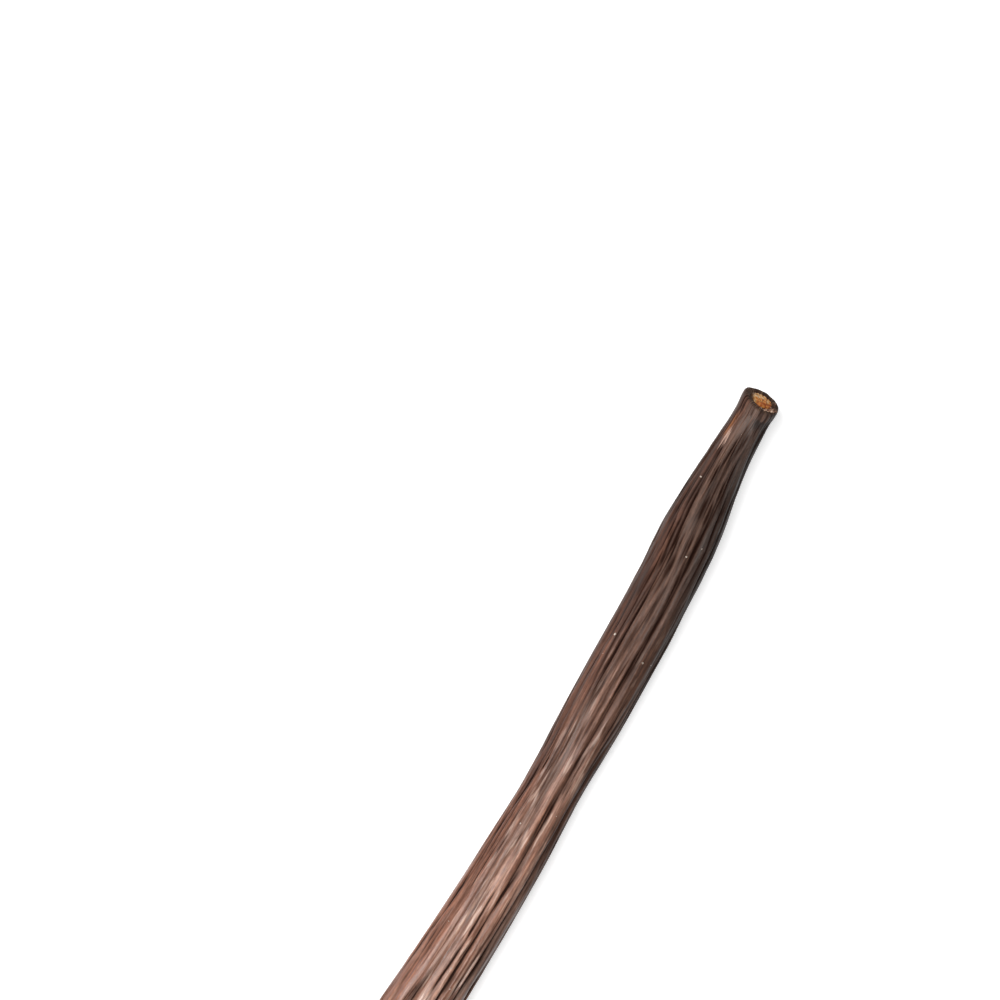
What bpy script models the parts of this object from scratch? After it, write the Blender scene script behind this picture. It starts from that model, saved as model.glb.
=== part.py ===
"""A cured vanilla pod lying on a table, as one closed solid.

Metres, +Z up. The pod lies along X with its cut stem at +X and its blossom tip at -X.
Every place on it is given by a distance along its spine, counted from the cut, and an
angle round it, counted from the top towards -Y.
"""

import math

import bmesh
import bpy
from mathutils import Vector

MM = 0.001

# Driving sizes.
POD_LENGTH = 172 * MM  # along the spine, from the cut to the blossom tip
NECK_WIDTH = 5.5 * MM
BODY_WIDTH = 9.1 * MM
BELLY_WIDTH = 10.1 * MM  # the widest place, two thirds of the way along
TIP_WIDTH = 2.3 * MM  # the blossom scar
BODY_FLATNESS = 0.82  # thickness over width
NECK_FLATNESS = 0.94

# How the width changes along the spine.
SHOULDER = (2 * MM, 25.5 * MM)  # the neck widens into the body
BELLY = (72 * MM, 112 * MM)  # the body widens into the belly
WAIST_AT, WAIST_REACH, WAIST_DEPTH = 66 * MM, 9 * MM, 0.9 * MM
TAPER_START = 118 * MM
COLLAR_FLARE, COLLAR_REACH = 0.55 * MM, 1.2 * MM  # the swollen ring at the cut
TRIGONAL = 0.045  # how far the section leans towards three blunt corners
TRIGONAL_TURN = math.radians(32)

# How the spine bends in plan: (from, to, degrees turned towards -Y). The first heading is at the cut.
FIRST_HEADING = math.radians(-1.7)
BENDS = (
    (4 * MM, 18 * MM, 5.3),
    (20 * MM, 42 * MM, -3.6),
    (60 * MM, 108 * MM, -4.0),
    (108 * MM, 172 * MM, -10.0),
)
# How it leaves the table: the neck curls up, and the blossom tip lifts a little.
NECK_LIFT, NECK_LIFT_REACH = 3.2 * MM, 28 * MM
TIP_LIFT, TIP_LIFT_REACH = 1.4 * MM, 30 * MM
PRESSED_FLAT = 0.25 * MM  # how deep the underside has settled against the table

# The stem is cut aslant, so that its face looks up and a little towards -Y.
CUT_TILT = math.radians(30)
CUT_TURN = math.radians(8)
CUT_REACH = 6 * MM

# The long furrows left by drying: (angle in degrees, depth, from, to). None runs along the flat underside.
FURROWS = (
    (-150, 0.35 * MM, 8 * MM, 150 * MM),
    (-122, 0.45 * MM, 2 * MM, 165 * MM),
    (-95, 0.30 * MM, 20 * MM, 140 * MM),
    (-64, 0.35 * MM, 35 * MM, 168 * MM),
    (-30, 0.45 * MM, 6 * MM, 160 * MM),
    (-6, 0.28 * MM, 1 * MM, 130 * MM),
    (21, 0.55 * MM, 7 * MM, 168 * MM),
    (52, 0.40 * MM, 45 * MM, 165 * MM),
    (77, 0.32 * MM, 3 * MM, 150 * MM),
    (110, 0.42 * MM, 12 * MM, 168 * MM),
    (142, 0.30 * MM, 5 * MM, 145 * MM),
)
FURROW_REACH = 1.15 * MM  # from a furrow's bottom to where its side meets the rib's crown
FURROW_FADE = 9 * MM
FURROW_WANDER = math.radians(3)
FURROW_WAVE = 52 * MM
REST_EDGES = (162, 198)  # the two long edges of the flat underside, as angles

# The cut, as rings inside the skin's first ring: (inset, how far it stands out past the skin's ring).
# The skin rolls over in a round lip, sinks to a narrow moat, and the flesh swells up in the middle.
CUT_RINGS = (
    (0.10 * MM, 0.14 * MM),
    (0.38 * MM, 0.26 * MM),
    (0.79 * MM, 0.21 * MM),
    (1.12 * MM, -0.18 * MM),
    (1.30 * MM, -0.04 * MM),
    (1.85 * MM, 0.06 * MM),
)
# The scar at the tip, likewise.
SCAR_RINGS = ((0.20 * MM, 0.25 * MM), (0.55 * MM, 0.30 * MM), (0.80 * MM, 0.05 * MM))

# Mesh fineness.
COLUMN_ANGLE = 8.6  # about this many degrees between columns
END_STEP = 0.55 * MM
BODY_STEP = 2.15 * MM
END_REACH = 8 * MM
SPINE_STEP = 0.25 * MM

SKIN_COLOUR = (0.115, 0.066, 0.047, 1.0)
SKIN_ROUGHNESS = 0.45


def smooth(share):
    """0 before 0, 1 after 1, and an easy slope between."""
    share = min(1.0, max(0.0, share))
    return share * share * (3 - 2 * share)


def half_width(along):
    """Half of the pod's width, before ribs and furrows."""
    width = NECK_WIDTH
    width += (BODY_WIDTH - NECK_WIDTH) * smooth((along - SHOULDER[0]) / (SHOULDER[1] - SHOULDER[0]))
    width += (BELLY_WIDTH - BODY_WIDTH) * smooth((along - BELLY[0]) / (BELLY[1] - BELLY[0]))
    width -= WAIST_DEPTH * math.exp(-(((along - WAIST_AT) / WAIST_REACH) ** 2))
    width += COLLAR_FLARE * math.exp(-((along / COLLAR_REACH) ** 2))
    taper = max(0.0, (along - TAPER_START) / (POD_LENGTH - TAPER_START))
    return (TIP_WIDTH + (width - TIP_WIDTH) * (1 - taper**1.9)) / 2


def flatness(along):
    """Thickness over width: rounder at both ends than in the body."""
    rounder_end = 1 - smooth(along / SHOULDER[1])
    rounder_end += smooth((along - TAPER_START) / (POD_LENGTH - TAPER_START))
    return BODY_FLATNESS + (NECK_FLATNESS - BODY_FLATNESS) * rounder_end


def heading(along):
    """The spine's direction in plan, as an angle from -X towards -Y."""
    turned = sum(turn * smooth((along - start) / (end - start)) for start, end, turn in BENDS)
    return FIRST_HEADING + math.radians(turned)


def height(along):
    """The spine's height over the table."""
    neck = max(0.0, 1 - along / NECK_LIFT_REACH)
    tip = max(0.0, 1 - (POD_LENGTH - along) / TIP_LIFT_REACH)
    thick = half_width(along) * flatness(along)
    return thick - PRESSED_FLAT + NECK_LIFT * neck**2 + TIP_LIFT * tip**2


def walk_spine():
    """Points along the spine in plan, one for each SPINE_STEP, from the cut to the tip."""
    points = [Vector((0, 0, 0))]
    for step in range(round(POD_LENGTH / SPINE_STEP)):
        turn = heading((step + 0.5) * SPINE_STEP)
        points.append(points[-1] - SPINE_STEP * Vector((math.cos(turn), math.sin(turn), 0)))
    return points


def spine_frame(points, along):
    """The spine's place at a distance along it, with its direction and its side (-Y) and up directions."""
    place = min(along / SPINE_STEP, len(points) - 1.001)
    before = int(place)
    centre = points[before].lerp(points[before + 1], place - before)
    centre.z = height(along)
    rise = (height(along + SPINE_STEP) - height(along - SPINE_STEP)) / (2 * SPINE_STEP)
    turn = heading(along)
    inward = Vector((-math.cos(turn), -math.sin(turn), rise)).normalized()
    side = Vector((0, 0, 1)).cross(inward).normalized()
    return centre, inward, side, inward.cross(side)


def furrow_angle(number, along):
    """Where furrow number runs at a distance along the spine."""
    start_of_wave = number * math.radians(137.5)
    wave = math.sin(2 * math.pi * along / FURROW_WAVE + start_of_wave)
    return math.radians(FURROWS[number][0]) + FURROW_WANDER * wave


def furrow_depth(number, along):
    """How deep furrow number is there, fading at its ends."""
    _, depth, start, end = FURROWS[number]
    narrow = min(1, 2 * half_width(along) / BODY_WIDTH)
    return depth * narrow * smooth((along - start) / FURROW_FADE) * smooth((end - along) / FURROW_FADE)


def column_angles(along):
    """The angle of every column of the mesh: one in each furrow, with the rest spread between them."""
    lines = [(angle, furrow_angle(number, along)) for number, (angle, *_) in enumerate(FURROWS)]
    lines += [(angle, math.radians(angle)) for angle in REST_EDGES]
    lines.append((lines[0][0] + 360, lines[0][1] + 2 * math.pi))
    angles = []
    for (nominal, line), (next_nominal, next_line) in zip(lines, lines[1:]):
        columns = max(2, round((next_nominal - nominal) / COLUMN_ANGLE))
        angles += [line + (next_line - line) * n / columns for n in range(columns)]
    return angles


def furrowed(along, angle):
    """How far the furrows draw the skin in at this place."""
    radius = half_width(along)
    deepest = 0.0
    for number in range(len(FURROWS)):
        apart = math.remainder(angle - furrow_angle(number, along), 2 * math.pi)
        away = abs(apart) * radius / FURROW_REACH
        if away < 1:
            deepest = max(deepest, furrow_depth(number, along) * (1 - away) ** 2)
    return deepest


def section(points, along, inset=0.0, outward=0.0):
    """One ring of the skin, slanted like the cut near the stem. An end's rings step inwards and outwards."""
    centre, inward, side, up = spine_frame(points, along)
    wide = half_width(along)
    thick = wide * flatness(along)
    slant = max(0.0, 1 - along / CUT_REACH) ** 2
    ring = []
    for angle in column_angles(along):
        lean = 1 + TRIGONAL * math.cos(3 * (angle - TRIGONAL_TURN))
        drawn_in = inset + furrowed(along, angle)
        across = (wide * lean - drawn_in) * math.sin(angle)
        above = (thick * lean - drawn_in) * math.cos(angle)
        back = slant * (above * math.tan(CUT_TILT) + across * math.tan(CUT_TURN))
        place = centre + side * across + up * above + inward * (back - outward)
        place.z = max(place.z, 0.0)
        ring.append(place)
    return ring


def stations():
    """Distances along the spine of the mesh's rings: close at both ends, wider apart in the body."""
    found = [0.0]
    while found[-1] < POD_LENGTH:
        from_end = min(found[-1], POD_LENGTH - found[-1])
        found.append(found[-1] + END_STEP + (BODY_STEP - END_STEP) * smooth(from_end / END_REACH))
    stretch = POD_LENGTH / found[-1]
    return [along * stretch for along in found]


def loft(bm, rings):
    """Joins the rings, in order, into one tube. Returns the corners of its two end rings."""
    corners = [[bm.verts.new(place) for place in ring] for ring in rings]
    for ring, next_ring in zip(corners, corners[1:]):
        for n in range(len(ring)):
            bm.faces.new((ring[n - 1], ring[n], next_ring[n], next_ring[n - 1]))
    return corners[0], corners[-1]


def close_end(bm, ring):
    """Closes an end ring with a fan of triangles round its middle."""
    middle = bm.verts.new(sum((corner.co for corner in ring), Vector()) / len(ring))
    for n in range(len(ring)):
        bm.faces.new((ring[n - 1], ring[n], middle))


def build_pod():
    """The whole pod: a tube of rings from the stem to the tip, with both ends turned in and closed."""
    points = walk_spine()
    rings = [section(points, 0.0, inset, outward) for inset, outward in reversed(CUT_RINGS)]
    rings += [section(points, along) for along in stations()]
    rings += [section(points, POD_LENGTH, inset, -inward) for inset, inward in SCAR_RINGS]
    bm = bmesh.new()
    for ring in loft(bm, rings):
        close_end(bm, ring)
    bmesh.ops.recalc_face_normals(bm, faces=bm.faces)
    return bm


def centre_in_plan(bm):
    """Moves the pod so that the middle of its box is over the origin."""
    for axis in (0, 1):
        places = [corner.co[axis] for corner in bm.verts]
        middle = (min(places) + max(places)) / 2
        for corner in bm.verts:
            corner.co[axis] -= middle


def skin_material():
    """Dark brown, softly shining skin."""
    material = bpy.data.materials.new("cured_skin")
    material.use_nodes = True
    shader = material.node_tree.nodes["Principled BSDF"]
    shader.inputs["Base Color"].default_value = SKIN_COLOUR
    shader.inputs["Roughness"].default_value = SKIN_ROUGHNESS
    return material


def clear_scene():
    for old in list(bpy.data.objects):
        bpy.data.objects.remove(old)


def main():
    clear_scene()
    bm = build_pod()
    centre_in_plan(bm)
    mesh = bpy.data.meshes.new("vanilla_pod")
    bm.to_mesh(mesh)
    bm.free()
    mesh.shade_smooth()
    mesh.materials.append(skin_material())

    collection = bpy.data.collections.new("vanilla_pod_parts")
    bpy.context.scene.collection.children.link(collection)
    collection.objects.link(bpy.data.objects.new("vanilla_pod", mesh))


main()
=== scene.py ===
# %% [markdown]
# # A cured vanilla pod
#
# A vanilla pod is the long fruit of an orchid. It is picked green, sweated and dried for months, and comes
# out as a dark brown, slightly oily stick. As it loses water it can't get shorter, because long fibres run
# from end to end, so it shrinks only across them, and its skin falls into hundreds of lengthwise folds.
# Those folds are the whole look of the pod, so most of this lesson is about making them.
#
# The order is: the frame that the pod has to fit, the camera, the pod's plain form, its folds, the skin over
# them, the cut end, the small things on the skin, the materials, and last the light.

# %% Load the frame
import math

import bmesh
import bpy
from mathutils import Matrix, Vector


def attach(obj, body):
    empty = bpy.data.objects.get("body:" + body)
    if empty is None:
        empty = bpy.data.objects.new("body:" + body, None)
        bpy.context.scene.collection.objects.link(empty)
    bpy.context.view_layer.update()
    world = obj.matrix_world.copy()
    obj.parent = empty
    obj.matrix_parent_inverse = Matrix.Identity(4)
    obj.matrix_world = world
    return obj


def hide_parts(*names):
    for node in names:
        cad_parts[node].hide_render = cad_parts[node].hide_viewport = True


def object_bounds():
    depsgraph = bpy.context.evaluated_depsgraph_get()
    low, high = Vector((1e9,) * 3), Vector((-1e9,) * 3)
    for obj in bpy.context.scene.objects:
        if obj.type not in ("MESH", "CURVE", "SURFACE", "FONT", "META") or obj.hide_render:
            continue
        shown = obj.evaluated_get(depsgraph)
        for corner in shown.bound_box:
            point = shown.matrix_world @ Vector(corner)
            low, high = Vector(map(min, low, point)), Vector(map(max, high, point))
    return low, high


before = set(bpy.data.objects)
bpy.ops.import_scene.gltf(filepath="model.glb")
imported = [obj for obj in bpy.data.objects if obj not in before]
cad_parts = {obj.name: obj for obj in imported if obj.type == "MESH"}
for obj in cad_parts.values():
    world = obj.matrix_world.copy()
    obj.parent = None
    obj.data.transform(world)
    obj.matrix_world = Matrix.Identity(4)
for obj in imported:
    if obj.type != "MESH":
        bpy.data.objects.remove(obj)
cad_low, cad_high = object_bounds()
cad_middle = (cad_low + cad_high) / 2
print("frame", [round(1000 * side, 1) for side in cad_high - cad_low], "mm")

# %% [markdown]
# ## Units
#
# Blender's unit is the metre. Sizes on a pod are millimetres and tenths of them, so every length below is
# written as a number times MM, and every turn as a number times DEGREE.

# %% Units
MM = 0.001
DEGREE = math.pi / 180


def ease(share):
    """0 before 0, 1 after 1, and an easy slope between."""
    share = min(1.0, max(0.0, share))
    return share * share * (3 - 2 * share)


# %% [markdown]
# ## Camera
#
# The view looks steeply down on the stem end, so that the pod runs from the upper right of the frame to the
# middle of its lower edge. A long lens keeps the pod's two sides nearly parallel. The camera is placed from
# the point that it looks at, by turning round it and rising over it, which is easier to adjust than three
# coordinates. The point is measured from the cut end of the frame's box, so the view follows the pod.

# %% Camera
VIEW_TURN = -60.6 * DEGREE
VIEW_RISE = 75 * DEGREE
VIEW_DISTANCE = 352 * MM
LENS = 85
LOOK_AT = Vector((cad_high.x - 34.4 * MM, cad_middle.y + 23.65 * MM, 4 * MM))


def back_direction(turn, rise):
    """The direction from what is looked at to the camera."""
    return Vector((math.sin(turn) * math.cos(rise), -math.cos(turn) * math.cos(rise), math.sin(rise)))


camera = bpy.data.objects.new("camera", bpy.data.cameras.new("camera"))
bpy.context.scene.collection.objects.link(camera)
camera.data.lens = LENS
camera.data.clip_start = 0.01
camera.location = LOOK_AT + VIEW_DISTANCE * back_direction(VIEW_TURN, VIEW_RISE)
camera.rotation_euler = (LOOK_AT - camera.location).to_track_quat("-Z", "Y").to_euler()
bpy.context.scene.camera = camera
print("camera at", [round(1000 * place) for place in camera.location], "mm")

# %% [markdown]
# ## The plain form
#
# Without its folds, a pod is a bent and flattened tube whose width changes along it: a narrow neck, a body,
# a slight waist, a belly, and a taper to the blossom end. One could model it from a cylinder by hand, but
# a few formulas keep it exact: one for the width, one for the thickness, one for the bend and one for the
# height over the table. They are the same ones that the frame was made with, so the skin will fit it.

# %% The plain form
POD_LENGTH = 172 * MM
NECK_WIDTH = 5.5 * MM
BODY_WIDTH = 9.1 * MM
BELLY_WIDTH = 10.1 * MM
TIP_WIDTH = 2.3 * MM
BODY_FLATNESS = 0.82
NECK_FLATNESS = 0.94
SHOULDER = (2 * MM, 25.5 * MM)
BELLY = (72 * MM, 112 * MM)
WAIST_AT, WAIST_REACH, WAIST_DEPTH = 66 * MM, 9 * MM, 0.9 * MM
TAPER_START = 118 * MM
COLLAR_FLARE, COLLAR_REACH = 0.55 * MM, 1.2 * MM
PRESSED_FLAT = 0.25 * MM


def half_width(along):
    """Half of the pod's width at a distance from the cut."""
    width = NECK_WIDTH
    width += (BODY_WIDTH - NECK_WIDTH) * ease((along - SHOULDER[0]) / (SHOULDER[1] - SHOULDER[0]))
    width += (BELLY_WIDTH - BODY_WIDTH) * ease((along - BELLY[0]) / (BELLY[1] - BELLY[0]))
    width -= WAIST_DEPTH * math.exp(-(((along - WAIST_AT) / WAIST_REACH) ** 2))
    width += COLLAR_FLARE * math.exp(-((along / COLLAR_REACH) ** 2))
    taper = max(0.0, (along - TAPER_START) / (POD_LENGTH - TAPER_START))
    return (TIP_WIDTH + (width - TIP_WIDTH) * (1 - taper**1.9)) / 2


def half_thickness(along):
    """Half of its thickness: the body has sagged flatter than the two ends."""
    rounder_end = 1 - ease(along / SHOULDER[1])
    rounder_end += ease((along - TAPER_START) / (POD_LENGTH - TAPER_START))
    return half_width(along) * (BODY_FLATNESS + (NECK_FLATNESS - BODY_FLATNESS) * rounder_end)


print("widths", [round(2000 * half_width(along * MM), 1) for along in range(0, 173, 20)], "mm")

# %% The bend and the height
FIRST_HEADING = -1.7 * DEGREE
BENDS = (
    (4 * MM, 18 * MM, 5.3 * DEGREE),
    (20 * MM, 42 * MM, -3.6 * DEGREE),
    (60 * MM, 108 * MM, -4.0 * DEGREE),
    (108 * MM, 172 * MM, -10.0 * DEGREE),
)
NECK_LIFT, NECK_LIFT_REACH = 3.2 * MM, 28 * MM
TIP_LIFT, TIP_LIFT_REACH = 1.4 * MM, 30 * MM
SPINE_STEP = 0.25 * MM
UP = Vector((0, 0, 1))


def heading(along):
    """The pod's direction in plan, as an angle from -X towards -Y."""
    return FIRST_HEADING + sum(turn * ease((along - start) / (end - start)) for start, end, turn in BENDS)


def height(along):
    """How high the middle of the pod is over the table."""
    neck = max(0.0, 1 - along / NECK_LIFT_REACH)
    tip = max(0.0, 1 - (POD_LENGTH - along) / TIP_LIFT_REACH)
    return half_thickness(along) - PRESSED_FLAT + NECK_LIFT * neck**2 + TIP_LIFT * tip**2


spine = [Vector((0, 0, 0))]
for step in range(round(POD_LENGTH / SPINE_STEP)):
    turn = heading((step + 0.5) * SPINE_STEP)
    spine.append(spine[-1] - SPINE_STEP * Vector((math.cos(turn), math.sin(turn), 0)))


def spine_frame(along):
    """A place on the spine, with its direction towards the tip, its side (towards -Y) and its up."""
    place = min(along / SPINE_STEP, len(spine) - 1.001)
    centre = spine[int(place)].lerp(spine[int(place) + 1], place % 1)
    centre.z = height(along)
    rise = (height(along + SPINE_STEP) - height(along - SPINE_STEP)) / (2 * SPINE_STEP)
    turn = heading(along)
    inward = Vector((-math.cos(turn), -math.sin(turn), rise)).normalized()
    side = UP.cross(inward).normalized()
    return centre, inward, side, inward.cross(side)


print("tip", [round(1000 * place, 1) for place in spine[-1]], "mm from the cut")

# %% [markdown]
# ## Stations
#
# The skin will be laid over rings that stand along the spine like the frames of a boat. Each ring is one
# vertex of a guide mesh that carries its own measurements as attributes: where it is, which way it faces,
# its half width and half thickness, how far it stands out past the end, and how much it slants. The first
# rings fold the skin over the cut's rim and close it inside; the last ones close the blossom scar. A list
# of measured stations is plain to read and to change, and Geometry Nodes can look each one up by number.

# %% Station spacing
CUT_REACH = 6 * MM
# Rings inside the rim of the cut, and inside the edge of the scar: (inset, how far past the end).
CUT_FOLD = (
    (0.06 * MM, 0.11 * MM),
    (0.16 * MM, 0.19 * MM),
    (0.30 * MM, 0.25 * MM),
    (0.46 * MM, 0.27 * MM),
    (0.63 * MM, 0.26 * MM),
    (0.79 * MM, 0.22 * MM),
    (0.93 * MM, 0.13 * MM),
    (1.04 * MM, -0.02 * MM),
    (1.12 * MM, -0.18 * MM),
    (1.26 * MM, -0.30 * MM),
    (9.00 * MM, -0.36 * MM),
)
SCAR_FOLD = (
    (0.08 * MM, 0.14 * MM),
    (0.20 * MM, 0.25 * MM),
    (0.34 * MM, 0.29 * MM),
    (0.46 * MM, 0.20 * MM),
    (0.56 * MM, 0.02 * MM),
    (0.64 * MM, -0.16 * MM),
    (9.00 * MM, -0.20 * MM),
)
END_STEP = 0.16 * MM
BODY_STEP = 0.70 * MM
END_REACH = 9 * MM
# The folds below draw the skin in, so it starts a little outside the plain form.
FOLD_ALLOWANCE = 0.14 * MM


def station_places():
    """Distances from the cut, close together at both ends and wider apart in the body."""
    places = [0.0]
    while places[-1] < POD_LENGTH:
        from_end = min(places[-1], POD_LENGTH - places[-1])
        places.append(places[-1] + END_STEP + (BODY_STEP - END_STEP) * ease(from_end / END_REACH))
    return [place * POD_LENGTH / places[-1] for place in places]


stations = [(0.0, inset, past) for inset, past in reversed(CUT_FOLD)]
stations += [(along, 0.0, 0.0) for along in station_places()]
stations += [(POD_LENGTH, inset, -past) for inset, past in SCAR_FOLD]
print(len(stations), "stations")

# %% The guide mesh


def add_attribute(mesh, name, kind, values):
    """Stores one value for each vertex of a mesh."""
    attribute = mesh.attributes.new(name, kind, "POINT")
    flat = [part for value in values for part in value] if kind == "FLOAT_VECTOR" else list(values)
    attribute.data.foreach_set("vector" if kind == "FLOAT_VECTOR" else "value", flat)


def guide_object(name, corners, edges):
    """A mesh of points and edges that the trees read and nobody sees. It is removed at the end."""
    mesh = bpy.data.meshes.new(name)
    mesh.from_pydata(corners, edges, [])
    guide = bpy.data.objects.new(name, mesh)
    bpy.context.scene.collection.objects.link(guide)
    guides.append(guide)
    return guide


guides = []
frames = [spine_frame(along) for along, _, _ in stations]
station_guide = guide_object("stations", [centre for centre, *_ in frames], [])
add_attribute(station_guide.data, "inward", "FLOAT_VECTOR", [inward for _, inward, _, _ in frames])
add_attribute(station_guide.data, "along", "FLOAT", [along for along, _, _ in stations])
add_attribute(station_guide.data, "past_end", "FLOAT", [past for _, _, past in stations])
add_attribute(station_guide.data, "folded_in", "FLOAT", [min(1, inset / MM) for _, inset, _ in stations])
slants = [max(0, 1 - along / CUT_REACH) ** 2 for along, *_ in stations]
add_attribute(station_guide.data, "slant", "FLOAT", slants)
half_sizes = []
for along, inset, _ in stations:
    smaller = inset - FOLD_ALLOWANCE * min(1, along / COLLAR_REACH)
    half_sizes.append((max(0, half_width(along) - smaller), max(0, half_thickness(along) - smaller), 0))
add_attribute(station_guide.data, "half_size", "FLOAT_VECTOR", half_sizes)

# %% [markdown]
# ## Building node trees in a script
#
# Every tree below, for shapes and for materials, is built with one small helper. It adds a node, sets its
# properties, and feeds its inputs: another node or socket is linked, and a plain value is typed in. Inputs
# are found by name, or by number where a node's inputs share one name, as on a Math node. A node's kind is
# written without the first part of Blender's name for it, which is ShaderNode for most of them, even in a
# tree for shapes. Three short functions use the helper for groups of nodes that come back again and again.

# %% The helper that adds a node
FAMILIES = {
    "GeometryNodeTree": ("GeometryNode", "ShaderNode", "FunctionNode"), "ShaderNodeTree": ("ShaderNode",)
}
SMOOTH = {"interpolation_type": "SMOOTHSTEP"}
COLOURS = {"data_type": "RGBA"}


def fill(tree, node, feeds):
    """Fills a node's inputs: a node or a socket is linked, and a plain value is typed in."""
    inputs = [socket for socket in node.inputs if socket.enabled]
    for name, value in feeds.items():
        socket = inputs[name] if isinstance(name, int) else next(one for one in inputs if one.name == name)
        if isinstance(value, bpy.types.Node):
            value = next(one for one in value.outputs if one.enabled)
        if isinstance(value, bpy.types.NodeSocket):
            tree.links.new(value, socket)
        else:
            socket.default_value = value


def add(tree, kind, settings=None, feeds=None):
    """Adds a node to a tree, with its settings and its inputs. Settings of one word are its operation."""
    family = next(one for one in FAMILIES[tree.bl_idname] if hasattr(bpy.types, one + kind))
    new = tree.nodes.new(family + kind)
    if isinstance(settings, str):
        settings = {"operation": settings}
    for name, value in (settings or {}).items():
        setattr(new, name, value)
    fill(tree, new, feeds or {})
    return new


def streaky_noise(tree, place, along, across, detail=2.0):
    """Noise whose blots have one length along the pod and another across it."""
    stretched = add(tree, "VectorMath", "MULTIPLY", {0: place, 1: (1 / along, 1 / across, 1 / across)})
    return add(tree, "TexNoise", feeds={"Vector": stretched, "Scale": 1, "Detail": detail})


def crumple(tree, shape, length, amount, detail=2.0):
    """Moves a shape's corners by noise, to either side by up to half of an amount."""
    spot = add(tree, "VectorMath", "SCALE", {0: add(tree, "InputPosition"), "Scale": 1 / length})
    noise = add(tree, "TexNoise", feeds={"Vector": spot, "Scale": 1, "Detail": detail})
    step = add(tree, "VectorMath", "SUBTRACT", {0: noise.outputs["Color"], 1: (0.5, 0.5, 0.5)})
    step = add(tree, "VectorMath", "SCALE", {0: step, "Scale": amount})
    return add(tree, "SetPosition", feeds={"Geometry": shape, "Offset": step})


def store(tree, sheet, fields):
    """Stores fields on a sheet's corners by name: a place as a vector, anything else as a number."""
    for name, value in fields.items():
        kind = "FLOAT_VECTOR" if name.endswith("place") else "FLOAT"
        feeds = {"Geometry": sheet, "Name": name, "Value": value}
        sheet = add(tree, "StoreNamedAttribute", {"data_type": kind, "domain": "POINT"}, feeds)
    return sheet


def new_shape_tree(name, inputs, outputs):
    """A Geometry Nodes tree with named inputs and outputs. Gives the tree and its two ends."""
    tree = bpy.data.node_groups.new(name, "GeometryNodeTree")
    for label, (kind, value) in inputs.items():
        socket = tree.interface.new_socket(label, in_out="INPUT", socket_type="NodeSocket" + kind)
        if value is not None:
            socket.default_value = value
    for label, kind in outputs.items():
        tree.interface.new_socket(label, in_out="OUTPUT", socket_type="NodeSocket" + kind)
    return tree, tree.nodes.new("NodeGroupInput").outputs, tree.nodes.new("NodeGroupOutput")


def run_tree(name, tree, **values):
    """Runs a shape tree, and keeps what it makes as a plain mesh object."""
    piece = bpy.data.objects.new(name, bpy.data.meshes.new(name + "_start"))
    bpy.context.scene.collection.objects.link(piece)
    modifier = piece.modifiers.new(name, "NODES")
    modifier.node_group = tree
    for item in tree.interface.items_tree:
        key = item.name.lower().replace(" ", "_")
        if item.in_out == "INPUT" and key in values:
            modifier[item.identifier] = values[key]
    depsgraph = bpy.context.evaluated_depsgraph_get()
    made = piece.evaluated_get(depsgraph)
    mesh = bpy.data.meshes.new_from_object(made, preserve_all_data_layers=True, depsgraph=depsgraph)
    piece.modifiers.remove(modifier)
    piece.data = mesh
    mesh.name = name
    print(name, len(mesh.vertices), "vertices", len(mesh.polygons), "faces")
    return piece


def finish_tree(tree, sheet, material, output):
    """Ends a rolled-up sheet: corners to their new places, seam and poles closed, and the material."""
    new_place = add(tree, "InputNamedAttribute", {"data_type": "FLOAT_VECTOR"}, {"Name": "new_place"})
    rolled = add(tree, "SetPosition", feeds={"Geometry": sheet, "Position": new_place})
    bare = add(tree, "RemoveAttribute", feeds={"Geometry": rolled, "Name": "new_place"})
    closed = add(tree, "MergeByDistance", feeds={"Geometry": bare, "Distance": 0.002 * MM})
    smooth = add(tree, "SetShadeSmooth", feeds={"Geometry": closed})
    real = add(tree, "RealizeInstances", feeds={"Geometry": smooth})
    painted = add(tree, "SetMaterial", feeds={"Geometry": real, "Material": material})
    tree.links.new(painted.outputs[0], output)
    print(tree.name, "has", len(tree.nodes), "nodes")
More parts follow.
